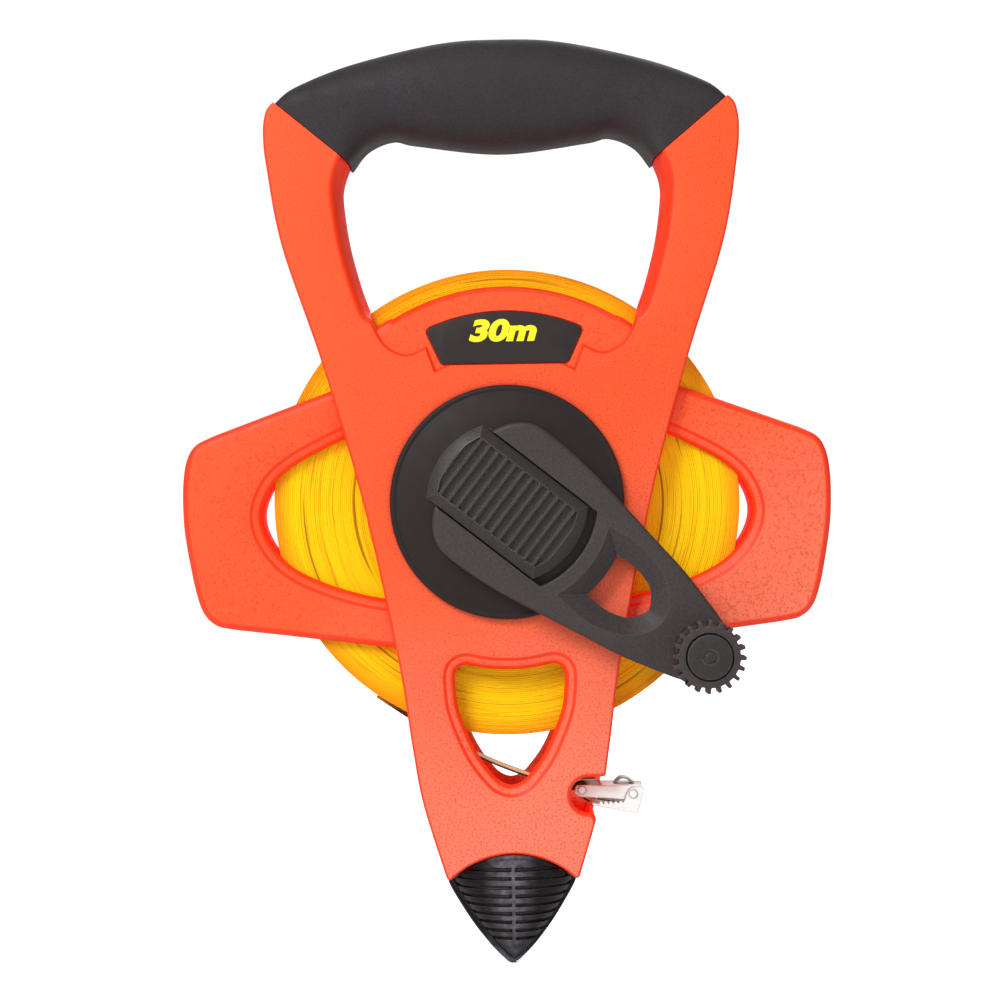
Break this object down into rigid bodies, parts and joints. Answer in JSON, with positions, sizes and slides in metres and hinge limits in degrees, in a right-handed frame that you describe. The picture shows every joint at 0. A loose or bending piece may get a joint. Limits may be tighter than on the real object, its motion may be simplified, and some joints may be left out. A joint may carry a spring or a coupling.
{
  "type": "surveyor tape reel",
  "caption": "Open-reel surveyor's tape with an orange frame, soft hand grip, crank with knob, ground spike and a folding end hook.",
  "frame": {"origin": "inside the hand grip, on the reel's middle plane, 132 mm above the drum axis", "axes": "+X to the reel's right seen from the crank side, -Y towards the crank, +Z from the spike to the grip"},
  "size_m": [0.2128, 0.066, 0.3047],
  "materials": {
    "frame_orange": "moulded fluorescent orange ABS, fine texture",
    "grip_rubber": "soft black overmould, satin",
    "spike_black": "black nylon, ribbed, faint sheen",
    "label_dark": "printed film, semi-gloss",
    "steel": "plain steel",
    "dark_steel": "dark bronzed steel strip",
    "acetal": "natural acetal",
    "tape_yellow": "PVC coated fibreglass tape, edges in view",
    "crank_black": "black moulded nylon, fine texture",
    "pad_black": "black moulded nylon, ribbed",
    "hub_black": "black moulded nylon, smooth matte",
    "nickel": "bright nickel-plated sheet steel"
  },
  "bodies": {
    "root": {"front_frame": "frame_orange", "rear_frame": "frame_orange", "front_grip": "grip_rubber", "rear_grip": "grip_rubber", "ground_spike": "spike_black", "capacity_label": "label_dark", "arm_screw_left": "steel", "arm_screw_right": "steel", "wing_screw_upper_left": "steel", "wing_screw_upper_right": "steel", "wing_screw_lower_left": "steel", "wing_screw_lower_right": "steel", "neck_screw": "steel", "front_bushing": "acetal", "rear_bushing": "acetal", "lock_ring": "steel", "tape_lead": "tape_yellow", "tape_end_clip": "dark_steel"},
    "drum": {"drum_core": "crank_black", "wound_tape": "tape_yellow", "tape_anchor_clip": "steel", "drum_spindle": "steel", "crank_screw": "steel", "rear_cap": "hub_black", "rear_cap_screw": "steel", "crank_hub": "hub_black", "crank_arm": "crank_black", "arm_screw_a": "steel", "arm_screw_b": "steel", "lock_spring": "steel", "knob_pin": "steel"},
    "lock": {"lock_slider": "pad_black", "lock_bolt": "steel"},
    "knob_grip": {"knob": "crank_black", "knob_cap": "crank_black"},
    "hook": {"hook_body": "nickel", "hook_pin": "nickel", "claw_rivet": "nickel"},
    "claw": {"hook_claw": "nickel"}
  },
  "joints": [
    {"name": "drum_spin", "type": "hinge", "parent": "root", "child": "drum", "pos_m": [0, 0, -0.132], "axis": [0, 1, 0], "continuous": true},
    {"name": "lock_slide", "type": "slide", "parent": "drum", "child": "lock", "axis": [0.7837, 0, -0.6212], "range_m": [0, 0.0026]},
    {"name": "knob_spin", "type": "hinge", "parent": "drum", "child": "knob_grip", "pos_m": [0.06238, -0.04, -0.18144], "axis": [0, 1, 0], "continuous": true},
    {"name": "hook_swing", "type": "hinge", "parent": "root", "child": "hook", "pos_m": [0.023, 0, -0.227], "axis": [0, 1, 0], "range_deg": [-12, 6]},
    {"name": "claw_fold", "type": "hinge", "parent": "hook", "child": "claw", "pos_m": [0.0398, 0, -0.2284], "axis": [0, -1, 0], "range_deg": [0, 150]}
  ]
}
